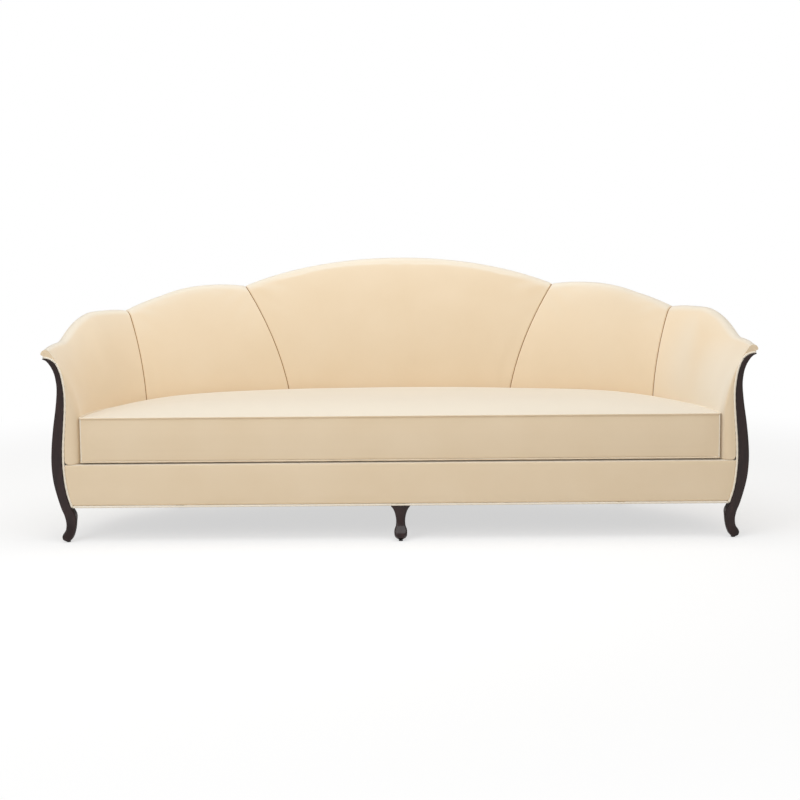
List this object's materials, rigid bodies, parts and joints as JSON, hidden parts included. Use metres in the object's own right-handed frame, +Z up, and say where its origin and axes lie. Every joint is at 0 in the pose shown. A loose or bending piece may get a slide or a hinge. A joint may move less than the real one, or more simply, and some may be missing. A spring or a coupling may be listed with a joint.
{
  "type": "camelback sofa",
  "caption": "Upholstered sofa with a fanned, scalloped wrap-round back, one loose bench cushion and dark carved stiles that run down into the front legs.",
  "frame": {"origin": "on the floor, under the middle of the overall width and depth", "axes": "+X across the sofa to the right as seen from the front, +Y from the front to the back, +Z up"},
  "size_m": [2.3992, 0.8436, 0.916],
  "materials": {
    "frame_wood": "matte",
    "show_wood": "satin",
    "steel": "satin",
    "glide_plastic": "matte",
    "cover_fabric": "matte",
    "welt_fabric": "matte",
    "foam": "matte",
    "fibre": "matte",
    "deck_cloth": "matte",
    "webbing": "matte",
    "lining": "matte",
    "zip_tape": "matte"
  },
  "bodies": {
    "root": {"front_seat_rail": "frame_wood", "rear_seat_rail": "frame_wood", "side_seat_rail_left": "frame_wood", "side_seat_rail_right": "frame_wood", "seat_stretchers": "frame_wood", "corner_blocks": "frame_wood", "splice_blocks": "frame_wood", "back_post_centre": "frame_wood", "back_posts_inner": "frame_wood", "back_posts_outer": "frame_wood", "arm_posts": "frame_wood", "crest_rail_centre": "frame_wood", "crest_rail_left": "frame_wood", "crest_rail_right": "frame_wood", "arm_top_rail_left": "frame_wood", "arm_top_rail_right": "frame_wood", "tack_rails_centre": "frame_wood", "tack_rails_middle": "frame_wood", "tack_rails_arm": "frame_wood", "rail_dowels": "frame_wood", "stile_leg_left": "show_wood", "stile_leg_right": "show_wood", "centre_front_leg": "show_wood", "rear_leg_centre": "show_wood", "rear_leg_left": "show_wood", "rear_leg_right": "show_wood", "leg_bolts": "steel", "leg_nuts": "steel", "frame_screws": "steel", "seat_springs": "steel", "spring_clips": "steel", "foot_glides": "glide_plastic", "cover_centre": "cover_fabric", "cover_middle_left": "cover_fabric", "cover_middle_right": "cover_fabric", "cover_wing_left": "cover_fabric", "cover_wing_right": "cover_fabric", "outside_back": "cover_fabric", "outside_arm_left": "cover_fabric", "outside_arm_right": "cover_fabric", "front_border": "cover_fabric", "stile_welt_left": "welt_fabric", "stile_welt_right": "welt_fabric", "rail_welt": "welt_fabric", "foam_centre": "foam", "foam_middle_left": "foam", "foam_middle_right": "foam", "foam_wing_left": "foam", "foam_wing_right": "foam", "edge_roll": "foam", "spring_insulator": "fibre", "deck_pad": "deck_cloth", "back_webbing": "webbing", "dust_cover": "lining"},
    "seat_cushion": {"cushion_cover": "cover_fabric", "cushion_wrap": "fibre", "cushion_core": "foam", "cushion_welt_top": "welt_fabric", "cushion_welt_bottom": "welt_fabric", "cushion_zip": "zip_tape"}
  },
  "joints": [
    {"name": "cushion_lift", "type": "slide", "parent": "root", "child": "seat_cushion", "axis": [0, 0, 1], "range_m": [0, 0.42]}
  ]
}
